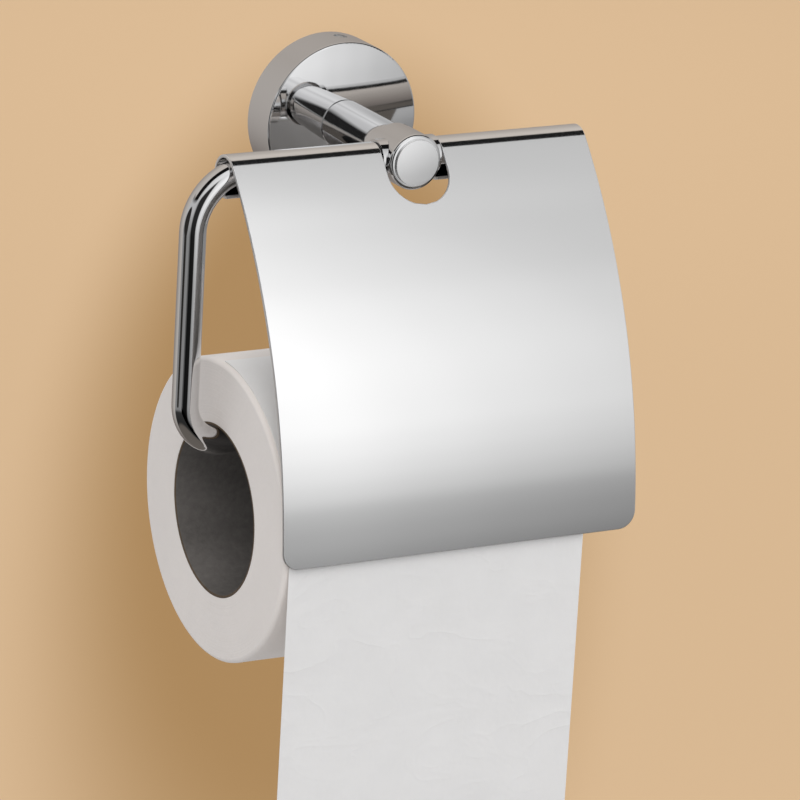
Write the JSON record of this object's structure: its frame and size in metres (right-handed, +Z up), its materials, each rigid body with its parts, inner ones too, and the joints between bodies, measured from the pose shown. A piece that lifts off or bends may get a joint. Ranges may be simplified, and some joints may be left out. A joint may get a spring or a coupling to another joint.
{
  "type": "toilet paper holder",
  "caption": "Wall-mounted toilet paper holder: round flange, straight post, bent rod that carries the roll, and a bowed sheet-metal cover that lifts on the rod.",
  "frame": {"origin": "wall face at the centre of the round wall flange", "axes": "+X along the wall to the right as seen from the room (the roll's axis), +Y into the wall, +Z up"},
  "size_m": [0.1318, 0.1, 0.2308],
  "materials": {
    "polished_chrome": "mirror polished",
    "polished_sheet": "polished sheet steel",
    "zinc_plate": "zinc plated",
    "screw_steel": "bright steel",
    "core_cardboard": "matt grey-brown board",
    "white_paper": "soft embossed tissue"
  },
  "bodies": {
    "frame": {"wall_plate": "zinc_plate", "wall_flange": "polished_chrome", "flange_clamp_screw": "screw_steel", "post_screw": "screw_steel", "post_screw_washer": "screw_steel", "post": "polished_chrome", "rod_clamp_screw": "screw_steel", "post_cap": "polished_chrome", "bent_rod": "polished_chrome", "left_collar": "polished_chrome", "right_collar": "polished_chrome"},
    "cover": {"cover": "polished_sheet"},
    "paper": {"loose_sheet": "white_paper"},
    "roll": {"core_tube": "core_cardboard", "paper_roll": "white_paper"}
  },
  "joints": [
    {"name": "cover_lift", "type": "hinge", "parent": "frame", "child": "cover", "pos_m": [0, -0.052, -0.00145], "axis": [-1, 0, 0], "range_deg": [0, 180]},
    {"name": "roll_slide", "type": "slide", "parent": "frame", "child": "paper", "axis": [1, 0, 0], "range_m": [0, 0.115]},
    {"name": "roll_spin", "type": "hinge", "parent": "paper", "child": "roll", "pos_m": [0, -0.052, -0.10375], "axis": [1, 0, 0], "continuous": true}
  ]
}
